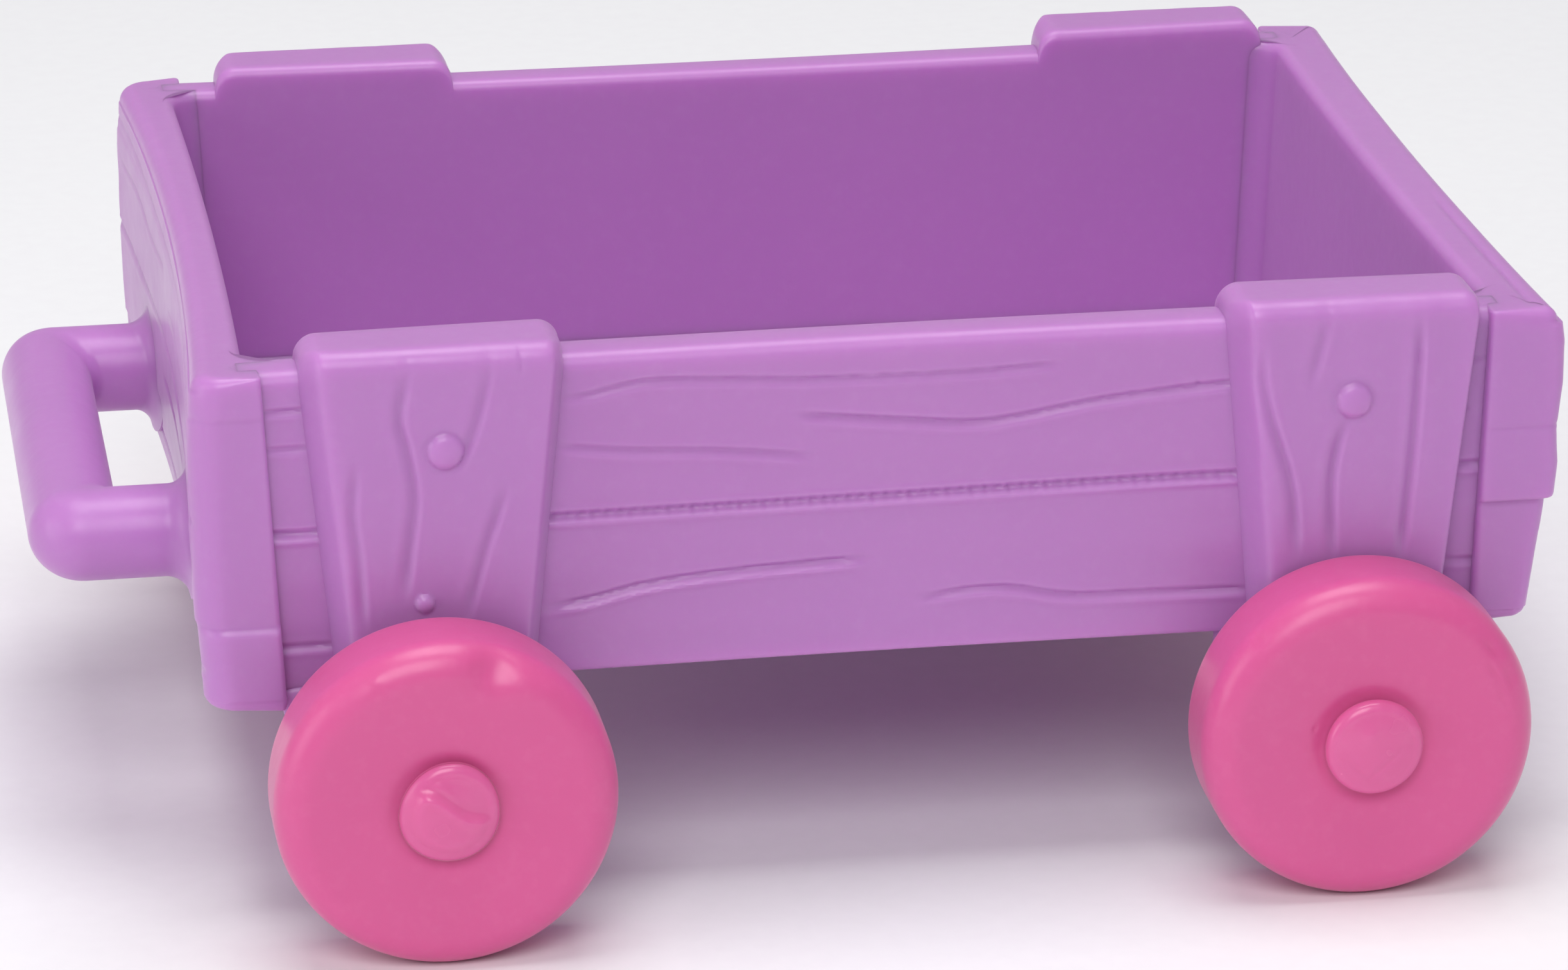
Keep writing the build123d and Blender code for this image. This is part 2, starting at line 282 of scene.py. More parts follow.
def side_face(rim_x, x, z, near_side):
    """Outside of a long wall with its relief: the plank face, raised to the strap face over the
    bevel, less every grain line, plus the nail heads."""
    inside, bevel = strap_inside(rim_x, z)
    on = np.clip(inside, 0, None) / bevel
    soft = 0.22                 # rounds the outer corner of the bevel
    lift = 0.5 * (on + 1 - np.sqrt((on - 1) ** 2 + soft**2)) - 0.5 * (1 - math.hypot(1, soft))
    lift = np.clip(lift, 0, 1)
    planks = plank_y(x, z)
    bare = 1 - smooth(inside / 0.12 + 0.5)
    for points, depth, steep, easy, lip in plank_grain:
        planks = planks + bare * cut_line(x, z, flowing(points), depth, steep, easy, fade=2.0, lip=lip)
    planks = planks + bare * ripple(x, z, 5, 26.0, 2.6, 0.018)
    boards = strap_half_w - (rim_z - z) * draft + ripple(x, z, 8, 3.1, 24.0, 0.03)
    for xc, lines in zip(strap_x, strap_grain):
        for points, depth, steep, easy in lines:
            line = flowing([(xc + across, up) for across, up in points])
            boards = boards + cut_line(x, z, line, depth, 1.25 * steep, 1.2 * easy, fade=2.0, lip=0.12)
    face = planks + (boards - planks) * lift
    for xc in nail_x:
        apart = np.hypot(x - xc, z - nail_z)
        dome = nail_h * np.sqrt(np.clip(1 - (apart / nail_r) ** 2.6, 0, None))
        ring = 0.035 * np.exp(-(((apart - nail_r - 0.14) / 0.12) ** 2))
        plain = strap_half_w - (rim_z - nail_z) * draft
        face = np.where(apart < nail_r, plain + dome, face - ring)
    if near_side:
        # nub left by the gate, and three pin-prick pits
        apart = np.hypot(x + 17.2, z - 15.1)
        face = face + 0.28 * np.sqrt(np.clip(1 - (apart / 0.42) ** 2.2, 0, None))
        for pit_x, pit_z in ((17.2, 22.73), (29.3, 21.0), (-12.9, 25.75)):
            face = face - 0.14 * np.exp(-((np.hypot(x - pit_x, z - pit_z) / 0.10) ** 2))
    return face


def steps(*stops):
    """Numbers from stop to stop, each run divided into parts of about the size given with it."""
    runs = [np.linspace(a, b, max(2, round((b - a) / size) + 1))[:-1] for a, b, size in stops]
    return np.concatenate(runs + [[stops[-1][1]]])


def long_side(near_side):
    """A wall as a closed section carried along its length. The section goes up the outside, over
    the rounded rim, down the inside and back underneath. The rim steps up a quarter ellipse at
    each strap, which also stands above the planks."""
    tuck = 0.35                 # each end of the wall runs this far into its end wall
    fine = 1.1                  # columns lie closer over this much at the edges of a strap
    stops, at = [], mid_x - half_length - tuck
    for left, right in strap_edges:
        stops += [(at, left, 0.2), (left, left + fine, 0.065)]
        stops += [(left + fine, right - fine, 0.1), (right - fine, right, 0.065)]
        at = right
    rim_x = steps(*stops, (at, mid_x + half_length + tuck, 0.2))[:, None]
    lean = np.interp(
        rim_x, [rim_x[0, 0], *strap_edges[0], *strap_edges[1], rim_x[-1, 0]],
        [0, strap_taper, -strap_taper, strap_taper, -strap_taper, 0])
    inside = strap_inside(rim_x, rim_z)[0]
    raised = np.sqrt(np.clip(1 - (1 - np.clip(inside / 1.0, 0, 1)) ** 2, 0, 1))
    # a hair lower at its ends, so that two rims never lie in one plane where they cross
    end_dip = 0.004 * smooth((np.abs(rim_x - mid_x) - half_length + 1.0) / 0.6)
    top = rim_z + (strap_top - rim_z) * raised - end_dip
    round_out = rim_round + 0.15 * raised
    foot_round = 0.25

    def outside(z):
        """Outside points at height z, their columns leaning with the edges of the straps."""
        x = rim_x + lean * (rim_z - np.minimum(z, rim_z))
        return x, side_face(rim_x, x, z, near_side)

    gap_low, gap_high = 17.85, 18.75        # rows lie closer over the gap between the planks
    level_top = 24.3                        # rows above this follow the stepped rim
    level = steps(
        (wall_foot + foot_round, gap_low, 0.115), (gap_low, gap_high, 0.045),
        (gap_high, level_top, 0.105))
    up = np.linspace(0, 1, 9)[1:]
    z_up = np.hstack([level + 0 * top, level[-1] + (top - round_out - level[-1]) * up])
    x_up, y_up = outside(z_up)
    turn = np.linspace(0, np.pi / 2, 9)[1:]
    z_over = top - round_out + round_out * np.sin(turn)
    x_over = np.repeat(x_up[:, -1:], len(turn), 1)
    y_over = y_up[:, -1:] - round_out * (1 - np.cos(turn))
    y_in_top = inner_y(rim_x, rim_z)
    across = np.linspace(0, 1, 8)[1:-1]
    y_flat = y_over[:, -1:] + (y_in_top + inner_round - y_over[:, -1:]) * across
    z_flat = top + 0.03 * np.sin(np.pi * across) * (1 - raised)
    x_flat = np.repeat(x_up[:, -1:], len(across), 1)
    z_back = top - inner_round + inner_round * np.cos(turn)
    y_back = y_in_top + inner_round * (1 - np.sin(turn))
    x_back = np.repeat(rim_x, len(turn), 1)
    down = np.linspace(0, 1, 26)[1:]
    z_down = (top - inner_round) + (wall_foot + 0.2 - top + inner_round) * down
    y_down = inner_y(rim_x, z_down)
    x_down = np.repeat(rim_x, len(down), 1)
    under = np.linspace(np.pi / 2, 0, 5)[:-1]
    z_under = wall_foot + foot_round * (1 - np.sin(under)) + 0 * top
    y_under = y_up[:, :1] - foot_round * (1 - np.cos(under))
    x_under = np.repeat(x_up[:, :1], len(under), 1)
    x_all = np.hstack([x_up, x_over, x_flat, x_back, x_down, x_under])
    y_all = np.hstack([y_up, y_over, y_flat, y_back, y_down, y_under])
    z_all = np.hstack([z_up, z_over, z_flat, z_back, z_down, z_under])
    return np.stack([x_all, -y_all if near_side else y_all, z_all], -1)


for name, near_side in (("plank_side_near", True), ("plank_side_far", False)):
    wall = closed_skin(name, long_side(near_side), lilac, "cart")
    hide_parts("cart_body")

# ---------------------------------------------------------------------------
# End walls. Each is a stack of boards across the cart, moulded in one with the
# tub. The ends of the boards show as corner posts, one board prouder than the
# next, and a round fillet joins each end wall to the long walls inside.
# ---------------------------------------------------------------------------
end_draft = 0.6                 # inside face comes in this much from rim to floor
inner_corner = 1.2
inner_bow = 0.28                # inside faces bow into the tub by this much at mid width
face_share = 0.35               # gaps between boards are cut to this share of their depth on the face
# out is the way a wall faces along x. The lengths along x are measured that way: inner is the
# inside face, middle a line along the rim, and post where the corner post meets the planks.
# joints are the height and depth of each gap, and grain is as on the planks, in (y, z).
left_end = {
    "out": -1, "inner": 24.55, "middle": 25.2, "corner": 1.35, "foot": wall_foot - 0.55,
    "post": lambda z: 23.975 - (25.5 - z) * 0.0496,
    # height, outside face, half width over the board ends
    "shape": [(10.2, 26.70, 22.60), (13.0, 26.90, 22.70), (13.95, 26.95, 22.70), (14.25, 27.05, 22.50),
              (18.0, 27.15, 22.48), (23.5, 27.15, 22.50), (23.9, 27.08, 22.55), (25.6, 26.95, 22.50)],
    "joints": [(14.1, 0.08), (23.7, 0.045)], "bow": 0.80,
    "grain": [([(-22, 23.7), (-14, 23.9), (-4, 24.15), (6, 24.0), (16, 24.2), (22, 24.2)], 0.04, 0.08, 0.16),
              ([(-20, 21.6), (-12, 21.1), (-6, 21.5), (0, 21.2)], 0.05, 0.09, 0.18),
              ([(2, 22.6), (8, 22.1), (14, 22.5), (20, 22.3)], 0.05, 0.09, 0.18),
              ([(-22, 18.9), (-10, 18.7), (4, 18.9), (14, 18.7), (22, 18.85)], 0.08, 0.12, 0.22),
              ([(-7, 16.3), (0, 16.7), (5, 16.4)], 0.08, 0.10, 0.2),
              ([(-22, 12.1), (-9, 11.8), (5, 12.2), (22, 11.9)], 0.14, 0.10, 0.2)],
}
right_end = {
    "out": 1, "inner": 30.4, "middle": 31.5, "corner": 0.65, "foot": wall_foot + 0.1,
    "post": lambda z: 30.2 - (25.6 - z) * 0.027,
    "shape": [(10.9, 32.40, 22.30), (12.3, 32.60, 22.38), (14.4, 32.83, 22.42), (16.55, 33.12, 22.42),
              (16.75, 33.45, 22.72), (18.3, 33.56, 22.72), (19.9, 33.46, 22.70), (20.4, 33.50, 22.70),
              (22.0, 33.66, 22.70), (24.0, 33.67, 22.68), (25.0, 33.52, 22.62), (25.6, 33.34, 22.55)],
    "joints": [(16.65, 0.12), (20.15, 0.05)], "bow": 0.45,
    "grain": [([(-22, 23.4), (-14, 23.7), (-3, 23.3), (8, 23.8), (22, 23.4)], 0.14, 0.10, 0.2),
              ([(-19, 21.6), (-12, 21.9), (-3, 21.5), (3, 21.7)], 0.13, 0.10, 0.2),
              ([(-22, 19.95), (-8, 20.1), (6, 19.9), (22, 20.05)], 0.24, 0.12, 0.22),
              ([(-4, 18.4), (4, 18.0), (13, 18.5), (20, 18.2)], 0.13, 0.10, 0.2),
              ([(-22, 14.9), (-10, 14.6), (0, 15.0)], 0.13, 0.10, 0.2),
              ([(-5, 12.9), (6, 13.2), (14, 12.8), (22, 13.0)], 0.14, 0.10, 0.2)],
}


def end_wall(end, top_slot):
    """A wall as a closed outline in plan, carried up its height. Going out along x, half of the
    outline is the inside face, the fillet to the long wall, the corner post and the outside
    face. The other half is its mirror. The outline draws in by a circular round at foot and rim."""
    table = np.array(end["shape"])
    low, high = end["foot"], rim_z
    z = steps((low, high, 0.13))[:, None]
    out_x = np.interp(z, table[:, 0], table[:, 1])
    half_w = np.interp(z, table[:, 0], table[:, 2])
    for joint, depth in end["joints"]:
        notch = depth * np.exp(-(((z - joint) / 0.10) ** 2))
        out_x = out_x - face_share * notch
        half_w = half_w - notch
    fall = (high - z) / (high - floor_z)
    in_x = end["inner"] - end_draft * np.clip(fall, 0, 1.2)
    flat = inner_half_w - inner_corner
    ones = np.ones_like(z)
    corner = end["corner"]

    w_in = np.linspace(0, flat, 34)
    x_face = in_x - inner_bow * (1 - (w_in / inner_half_w) ** 2)
    y_face = w_in * ones
    turn = np.linspace(0, np.pi / 2, 10)[1:]
    fillet_x = x_face[:, -1:] - inner_corner * (1 - np.cos(turn))
    wall_y = inner_y(end["out"] * fillet_x[:, -1:], z)
    fillet_y = flat + (wall_y - flat) * np.sin(turn)
    # a run buried in the long wall, from the fillet out to the foot of the corner post
    post = end["post"](z)
    dive_x = np.hstack([fillet_x[:, -1:], post + 0.02, post])
    dive_y = np.hstack([wall_y + 0.8, wall_y + 1.1, 21.3 * ones])
    turn = np.linspace(0, np.pi / 2, 6)
    edge = 0.25
    edge_x = post + edge - edge * np.cos(turn)
    edge_y = half_w - edge + edge * np.sin(turn)
    board = np.linspace(0, 1, 14)[1:-1]
    board_x = post + edge + (out_x - corner - post - edge) * board
    board_y = half_w * np.ones_like(board)
    turn = np.linspace(0, np.pi / 2, 14)
    corner_x = out_x - corner * (1 - np.sin(turn))
    corner_y = half_w - corner * (1 - np.cos(turn))
    w_out = np.linspace(1, 0, 128)[1:]
    face_y = (half_w - corner) * w_out
    face_x = out_x - end["bow"] * (1 - w_out**2) * ones
    x = np.hstack([x_face, fillet_x, dive_x, edge_x, board_x, corner_x, face_x])
    y = np.hstack([y_face, fillet_y, dive_y, edge_y, board_y, corner_y, face_y])
    lap = 6                     # the grain starts this many columns round the corner
    first_out = x.shape[1] - face_x.shape[1] - lap
    x = np.hstack([x, x[:, -2:0:-1]])
    y = np.hstack([-y, y[:, -2:0:-1]])
    outer = np.zeros(x.shape[1])
    outer[first_out:x.shape[1] - first_out] = 1
    for points, depth, steep, easy in end["grain"]:
        x = x + outer * cut_line(y, z + 0 * x, flowing(points), depth, steep, easy)
    x = x + outer * ripple(y, z, 11, 22.0, 2.8, 0.02)

    # rounds at foot and rim: the same outline moved in along its own normals
    tip = x_face.shape[1] + fillet_x.shape[1] - 1

    def drawn_in(row, inset):
        """The outline at one height, each point moved in along the normal of the chord between its
        neighbours by inset times that point's share of the round."""
        px, py = x[row], y[row]
        tx = np.roll(px, -1) - np.roll(px, 1)
        ty = np.roll(py, -1) - np.roll(py, 1)
        length = np.hypot(tx, ty)
        sense = np.sign((px * np.roll(py, -1) - np.roll(px, -1) * py).sum())
        in_x, in_y = -sense * ty / length, sense * tx / length
        mirror = len(px) - tip
        in_x[[tip, mirror]], in_y[[tip, mirror]] = 0, (-1, 1)
        for first in (tip + 1, mirror - 3):     # the part buried in the long wall
            in_x[first:first + 3], in_y[first:first + 3] = 1, 0
        return px + inset[:, None] * in_x * soften, py + inset[:, None] * in_y * soften

    # full round inside, a tight one where the post meets the planks, a wide one outside
    runs = [0, tip, 1, edge_x.shape[1] + 2, board_x.shape[1], corner_x.shape[1], face_x.shape[1]]
    bounds = np.cumsum(runs)
    soften = np.interp(np.arange(bounds[-1] + 1), bounds, [1, 1, 0.25, 0.25, 1, 1.5, 1.5])
    soften = np.concatenate([soften, soften[-2:0:-1]])
    turn = np.linspace(0, np.pi / 2, 8)
    inset = inner_round * (1 - np.cos(turn))
    rim_x, rim_y = drawn_in(-1, inset)
    rim_up = high - inner_round * soften[None, :] * (1 - np.sin(turn))[:, None]
    foot_x, foot_y = drawn_in(0, inset[::-1])
    foot_up = low + inner_round * (1 - np.sin(turn[::-1]))[:, None] + 0 * foot_x
    keep = (z[:, 0] > low + inner_round + 0.02) & (z[:, 0] < high - inner_round * 1.5 - 0.02)
    z_mid = np.repeat(z[keep], x.shape[1], 1)
    xs = [foot_x, x[keep], rim_x]
    ys = [foot_y, y[keep], rim_y]
    zs = [foot_up, z_mid, rim_up]
    # top of the rim, drawn together until its last ring keeps only these shares of its outline
    last_x, last_y = rim_x[-1], rim_y[-1]
    share = np.array([0.12, 0.2, 0.27, 0.34, 0.41, 0.48, 0.56, 0.66, 0.8, 0.95, 1.0])[:, None]
    depth_kept, length_kept = 0.02, 0.93
    line_x = end["middle"] + depth_kept * (last_x - end["middle"])
    line_y = length_kept * last_y
    top_x = last_x + (line_x - last_x) * share
    top_y = last_y + (line_y - last_y) * share
    top_z = np.full_like(top_x, high)
    if top_slot:
        # a thin slot parts off the outer board, along the near half of the rim
        slot_depth, slot_width = 0.08, 0.16
        slot_x = end["inner"] + 1.78 - 0.8 * end["bow"] * (1 - (top_y / 22) ** 2)
        reach = smooth((-top_y - 4.5) / 6.0) * smooth((22.0 + top_y) / 0.8)
        near_slot = np.exp(-(((top_x - slot_x) / slot_width) ** 2))
        top_z = top_z - slot_depth * near_slot * reach
    xs.append(top_x)
    ys.append(top_y)
    zs.append(top_z)
    x_all = np.minimum(np.vstack(xs), cart_hi.x - 0.002)       # a hair inside the cart's length
    return np.stack([x_all * end["out"], np.vstack(ys), np.vstack(zs)], -1)


for name, end, top_slot in (("board_end_left", left_end, False), ("board_end_right", right_end, True)):
    wall = closed_skin(name, end_wall(end, top_slot), lilac, "cart")
    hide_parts("cart_body")

# ---------------------------------------------------------------------------
# Floor of the tub: a plain plate inside the four walls, with a small fillet
# all round where the mould core was rounded. It hangs a little below the walls.
# ---------------------------------------------------------------------------
floor_fillet = 0.5
floor_under = wall_foot - 0.6     # the plate hangs a little below the walls


def floor_outline(inset, count=90):
    """Inside faces of the four walls at floor level, moved in by inset, with round corners:
    points at equal steps along each side, bowed by the same parabola as the wall."""
    x0 = -(left_end["inner"] - end_draft) + inset
    x1 = right_end["inner"] - end_draft - inset
    half = inner_half_w - (rim_z - floor_z) * draft - inset
    r = inner_corner
    along = np.linspace(0, 1, count, endpoint=False)
    quarter = np.linspace(0, np.pi / 2, 8, endpoint=False)
    sag = long_bow * (1 - (2 * along - 1) ** 2)
    lean_in = inner_bow * (1 - (2 * along - 1) ** 2)
    run_x = x0 + r + (x1 - x0 - 2 * r) * along
    run_y = -half + r + (2 * half - 2 * r) * along
    x = np.concatenate([
        run_x, x1 - r + r * np.sin(quarter), x1 - lean_in, x1 - r + r * np.cos(quarter),
        run_x[::-1], x0 + r - r * np.sin(quarter), x0 + lean_in, x0 + r - r * np.cos(quarter)])
    y = np.concatenate([
        -half + sag, -half + r - r * np.cos(quarter), run_y, half - r + r * np.sin(quarter),
        half - sag, half - r + r * np.cos(quarter), run_y[::-1], -half + r - r * np.sin(quarter)])
    return x, y


# three flat rings inside the fillet, then the fillet, then the plate's edge inside the walls
turn = np.linspace(0, np.pi / 2, 8)
insets = np.concatenate([[1.6, 1.2, 0.9], floor_fillet * (1 - np.sin(turn)), [-0.5, -0.5]])
heights = np.concatenate([
    [floor_z] * 3, floor_z + floor_fillet * (1 - np.cos(turn)), [floor_z + 0.6, floor_under]])
rings = []
for inset, up in zip(insets, heights):
    edge_x, edge_y = floor_outline(inset)
    rings.append(np.stack([edge_x, edge_y, np.full_like(edge_x, up)], -1))
floor = closed_skin("tub_floor", np.array(rings), lilac, "cart")
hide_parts("cart_body")

# ---------------------------------------------------------------------------
# Axle lugs: four plates below the long walls, each with the foot of its strap
# moulded on the outside and a plain hole for the axle through both.
# ---------------------------------------------------------------------------
axle_lo, axle_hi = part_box("axle_front")
axle_z = (axle_lo.z + axle_hi.z) * 500
axle_x = [sum(c.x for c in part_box(node)) * 500 for node in ("axle_front", "axle_rear")]
bore_r = 1.55


def bored_plate(xc, sides, layers):
    """A plate round a hole: for each direction from the hole, the radius where a set of straight
    sides is met, softened at the corners, joined to the hole by a closed section. sides are
    (angle of the side's normal, distance). layers are (share of the way out, inset, y)."""
    angle = np.linspace(0, 2 * np.pi, 220, endpoint=False)
    crisp = 26                  # the higher this power, the sharper the corners
    rings = []
    for share, inset, y in layers:
        reach = 0
        for normal, away in sides:
            facing = np.clip(np.cos(angle - math.radians(normal)), 0, None)
            reach = reach + (facing / (away - inset)) ** crisp
        radius = reach ** (-1 / crisp)
        radius = bore_r + (radius - bore_r) * share
        x = xc + radius * np.cos(angle)
        z = axle_z + radius * np.sin(angle)
        depth = y(z) if callable(y) else np.full_like(x, y)
        rings.append(np.stack([x, depth, z], -1))
    return np.array(rings)


def strap_face(z, sink=0.0):
    """Outside face of a strap, one degree of draft, less sink."""
    return strap_half_w - (rim_z - z) * draft - sink


# each plate from its inside face out, its edges eased
lug_layers = [
    (0.0, 0.15, 20.2), (0.5, 0.15, 20.2), (1.0, 0.25, 20.2), (1.0, 0.08, 20.27), (1.0, 0.0, 20.45),
    (1.0, 0.0, 21.65), (1.0, 0.08, 21.83), (1.0, 0.25, 21.9), (0.5, 0.15, 21.9), (0.0, 0.15, 21.9)]
foot_layers = [
    (0.0, 0.0, 21.3), (1.0, 0.0, 21.3), (1.0, 0.0, 21.7),
    (1.0, 0.45, lambda z: strap_face(z, 0.5)), (1.0, 0.72, lambda z: strap_face(z, 0.12)),
    (1.0, 0.95, strap_face), (0.5, 0.9, strap_face), (0.0, 0.9, strap_face)]
for corner, (name, side) in enumerate(
        (("near_front", -1), ("far_front", 1), ("near_rear", -1), ("far_rear", 1))):
    xc = axle_x[corner // 2]
    lean_x = strap_x[corner // 2] - xc
    left_reach = 6.75 if "front" in name else 5.8
    lug_sides = [
        (90, wall_foot + 0.25 - axle_z), (-90, 3.5), (3, 5.8), (177, left_reach),
        (-29.5, 4.6), (209.5, 4.6)]
    plate = bored_plate(xc, lug_sides, lug_layers)
    foot_half = strap_root - (rim_z - axle_z) * strap_taper
    foot_sides = [
        (90, wall_foot + 0.04 - axle_z), (-90, 2.9),
        (-5.6, foot_half + lean_x), (185.6, foot_half - lean_x)]
    foot = bored_plate(xc, foot_sides, foot_layers)
    for piece_name, grid in (("axle_lug_" + name, plate), ("strap_foot_" + name, foot)):
        grid[..., 1] *= side
        lug = closed_skin(piece_name, grid, lilac, "cart", wrap=True)
        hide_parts("cart_body")

# ---------------------------------------------------------------------------
# Pull handle: a round rod bent to a U, moulded in one with the left end wall.
# Its two roots flare into the boards and its corners are as round as the rod.
# ---------------------------------------------------------------------------
rod_r = 2.1
handle_x = cart_lo.x + rod_r
handle_y = 11.15
handle_z = rim_z - 10.9
bend_out, bend_in = 0.45, 0.6
root_x = -26.55                 # outside face of the bowed boards at the roots
root_flare = 1.1
root_sink = 0.9                 # each arm starts this far inside the boards


def handle_grid():
    """A ring of lines carried round the U. A line lying d outside the rod's centre runs straight,
    turns a corner of radius d plus bend_out, or bend_in if that is more, and runs straight on.
    Near the wall the rod's radius grows by a circular flare."""
    around = np.linspace(0, 2 * np.pi, 72, endpoint=False)
    arm = steps((0, 1, 0.018))
    start = root_x + root_sink
    nominal = start + (handle_x + bend_out - start) * arm
    past = np.clip(nominal - (root_x - root_flare), 0, root_flare)
    radius_arm = rod_r + root_flare - np.sqrt(root_flare**2 - past**2)
    turn = np.linspace(0, np.pi / 2, 18)[1:-1]
    bar_rings = 45              # over half of the cross bar
    radius = np.concatenate([radius_arm, np.full(len(turn) + bar_rings, rod_r)])
    uneven = 0.99 + 0.006 * np.sin(3 * around) + 0.004 * np.cos(5 * around + 1)

    def half(side):
        """One arm, its corner and the bar as far as the middle. side is -1 for the near arm."""
        d = radius[:, None] * np.cos(around) * uneven
        up = handle_z + radius[:, None] * np.sin(around) * uneven
        corner = np.maximum(d + bend_out, bend_in)
        n = len(arm)
        corner_x = handle_x - d[n:n + 1] + corner[n:n + 1]
        arm_x = start + (corner_x - start) * arm[:, None]
        arm_y = handle_y + d[:n]
        centre_y = handle_y + d[n:n + 1] - corner[n:n + 1]
        bend_x = corner_x - corner[n:n + 1] * np.sin(turn)[:, None]
        bend_y = centre_y + corner[n:n + 1] * np.cos(turn)[:, None]
        bar_x = (handle_x - d[n:n + 1]) * np.ones((bar_rings, 1))
        bar_y = centre_y * np.linspace(1, 0.011, bar_rings)[:, None]
        x = np.vstack([arm_x, bend_x, bar_x])
        y = np.vstack([arm_y, bend_y, bar_y])
        return np.stack([x, side * y, up], -1)

    first, second = half(-1), half(1)
    return np.vstack([first, second[::-1]])


handle = closed_skin("pull_handle", handle_grid(), lilac, "cart")
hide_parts("cart_body")

# ---------------------------------------------------------------------------
# Axles: one per pair of wheels, moulded in pink polypropylene with a button
# at one end, and the other end pressed over after the wheels were threaded on.
# ---------------------------------------------------------------------------
pink = moulded_plastic("moulded_polypropylene_pink", "#dc5e9a", "#d85996", "#ee8cb9", 0.33, 0.3, 1.2)
pink_axle = moulded_plastic(
    "moulded_polypropylene_pink_pins", "#e067a1", "#dc629d", "#f093bf", 0.23, 0.3, 1.2)
axle_r = 1.5
button_r = 2.2
button_h = 0.83


def button_rise(kind, across, up):
    """Height added to a button's end. A pressed-over end keeps a raised lobe below a slanting edge
    that ran out unevenly, with a swell along the edge. A moulded end keeps a faint V where the
    plastic met, and a small swell where it was fed."""
    edge = (up - 0.62) + 0.55 * (across + 0.15) + 0.12 * np.sin(2.6 * across)
    if kind == "pressed":
        lobe = 0.20 * smooth(0.5 - edge / 0.5)
        swell = 0.09 * np.exp(-(((edge + 0.30) / 0.28) ** 2)) * (0.85 + 0.15 * np.sin(1.7 * across + 0.6))
        second = 0.08 * np.exp(-(((edge - 0.50) / 0.26) ** 2)) * smooth((0.5 - across) / 1.2)
        slope = -0.05 * across
        return (lobe + swell + second + slope) * smooth((2.0 - np.hypot(across, up)) / 0.7) - 0.33
    leg = np.abs(across + 0.3) * 0.9 - (up + 1.3)
    flow = -0.035 * np.exp(-((leg / 0.2) ** 2)) * smooth((1.7 - np.hypot(across + 0.2, up + 0.5)) / 0.9)
    return flow + 0.05 * np.exp(-((np.hypot(across + 0.3, up - 0.75) / 0.35) ** 2)) - 0.10


def axle_grid(node, near_end, far_end):
    """A turned shape: radius and distance along the pin for each ring, from one domed button
    through the plain pin to the other, with each button's own marks added along the pin."""
    low, high = (corner * 1000 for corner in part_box(node))
    xc, middle = (low.x + high.x) / 2, (low.y + high.y) / 2
    reach = (high.y - low.y) / 2
    turn = np.linspace(0, np.pi / 2, 9)
    dome = np.linspace(0.06, 1, 26)
    flat_r = button_r - 0.5
    r_dome = np.concatenate([flat_r * dome, flat_r + 0.5 * np.sin(turn[1:])])
    y_dome = np.concatenate([-0.24 * dome**2, -0.24 - 0.46 * (1 - np.cos(turn[1:]))])
    neck = button_h + 0.27
    rod_rings = 20
    rod_y = np.linspace(-neck - 0.3, 1.0 - reach, rod_rings)
    r_half = np.concatenate([r_dome, [button_r, button_r - 0.1, axle_r], np.full(rod_rings, axle_r)])
    y_half = np.concatenate([y_dome, [-neck * 0.8, -neck - 0.02, -neck - 0.04], rod_y]) + reach
    around = np.linspace(0, 2 * np.pi, 128, endpoint=False)
    halves = []
    for side, end in ((-1, near_end), (1, far_end)):
        wobble = 0
        if end == "pressed":
            wobble = 0.04 - 0.05 * (np.cos(2 * around + 0.6) + 0.6 * np.cos(3 * around - 1))
        wide = smooth((r_half[:, None] - 0.9) / 1.0) * (r_half[:, None] > axle_r + 0.05)
        radius = r_half[:, None] + wobble * wide
        x = radius * np.cos(around)
        z = radius * np.sin(around)
        top = np.concatenate([np.ones(len(r_dome)), np.zeros(3 + len(rod_y))])[:, None]
        y = y_half[:, None] + top * button_rise(end, x, z)
        halves.append(np.stack([xc + x, middle + side * y, axle_z + z], -1))
    return np.vstack([halves[0], halves[1][::-1]])


for name, node, body, near_end, far_end in (
        ("front_axle_pin", "axle_front", "front_axle", "pressed", "moulded"),
        ("rear_axle_pin", "axle_rear", "rear_axle", "moulded", "pressed")):
    pin = closed_skin(name, axle_grid(node, near_end, far_end), pink_axle, body)
    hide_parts(node)

# ---------------------------------------------------------------------------
# Wheels: four thick plain discs moulded in pink polypropylene, a full round on
# the outer shoulder, the face slightly dished towards the hole. Two of them
# carry knocks and scratches from play.
# ---------------------------------------------------------------------------
shoulder = 1.45
back_round = 0.5
dish = 0.35


